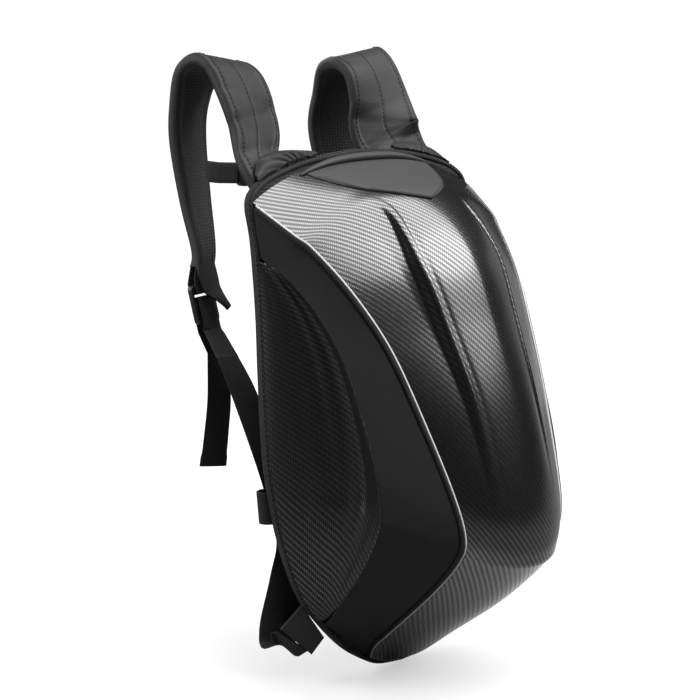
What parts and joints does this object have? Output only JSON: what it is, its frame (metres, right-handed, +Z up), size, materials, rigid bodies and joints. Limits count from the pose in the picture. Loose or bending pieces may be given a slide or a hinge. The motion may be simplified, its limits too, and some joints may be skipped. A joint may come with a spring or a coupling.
{
  "type": "motorcycle backpack",
  "caption": "Hard-shell motorcycle backpack with a ridged carbon-look front, cloth sides, padded back and arched shoulder straps, standing on its lower end.",
  "frame": {"origin": "on the floor under the middle of the bag's box", "axes": "+Z up, -Y towards the moulded shell, +Y towards the shoulder straps and the wearer, +X the bag's right as worn"},
  "size_m": [0.29, 0.367, 0.5616],
  "materials": {
    "carbon_film": "glossy black film with a carbon twill look on a moulded foam shell",
    "patch_grey": "matte grey moulded patch, bare",
    "band_cloth": "smooth matte coated cloth, dark grey",
    "reflective_cord": "silver-grey reflective piping",
    "carbon_cloth": "coated cloth with a soft carbon twill look",
    "air_mesh": "black spacer mesh over foam",
    "strap_cloth": "black nylon with stitched seams",
    "webbing": "black ribbed webbing",
    "buckle_plastic": "black moulded plastic, satin"
  },
  "bodies": {
    "root": {"shell": "carbon_film", "top_patch": "patch_grey", "top_roll": "band_cloth", "piping_left": "reflective_cord", "piping_right": "reflective_cord", "gusset_left": "band_cloth", "gusset_right": "band_cloth", "side_panel_left": "carbon_cloth", "side_panel_right": "carbon_cloth", "back_panel": "air_mesh", "back_binding": "webbing", "yoke_left": "air_mesh", "yoke_right": "air_mesh", "shoulder_strap_left": "strap_cloth", "shoulder_strap_right": "strap_cloth", "strap_loop_left": "webbing", "strap_loop_right": "webbing", "buckle_left": "buckle_plastic", "buckle_right": "buckle_plastic", "adjuster_webbing_left": "webbing", "adjuster_webbing_right": "webbing", "anchor_tab_left": "strap_cloth", "anchor_tab_right": "strap_cloth", "sternum_webbing_left": "webbing", "sternum_webbing_right": "webbing", "sternum_buckle": "buckle_plastic", "side_loop_left": "webbing", "side_loop_right": "webbing"}
  },
  "joints": []
}
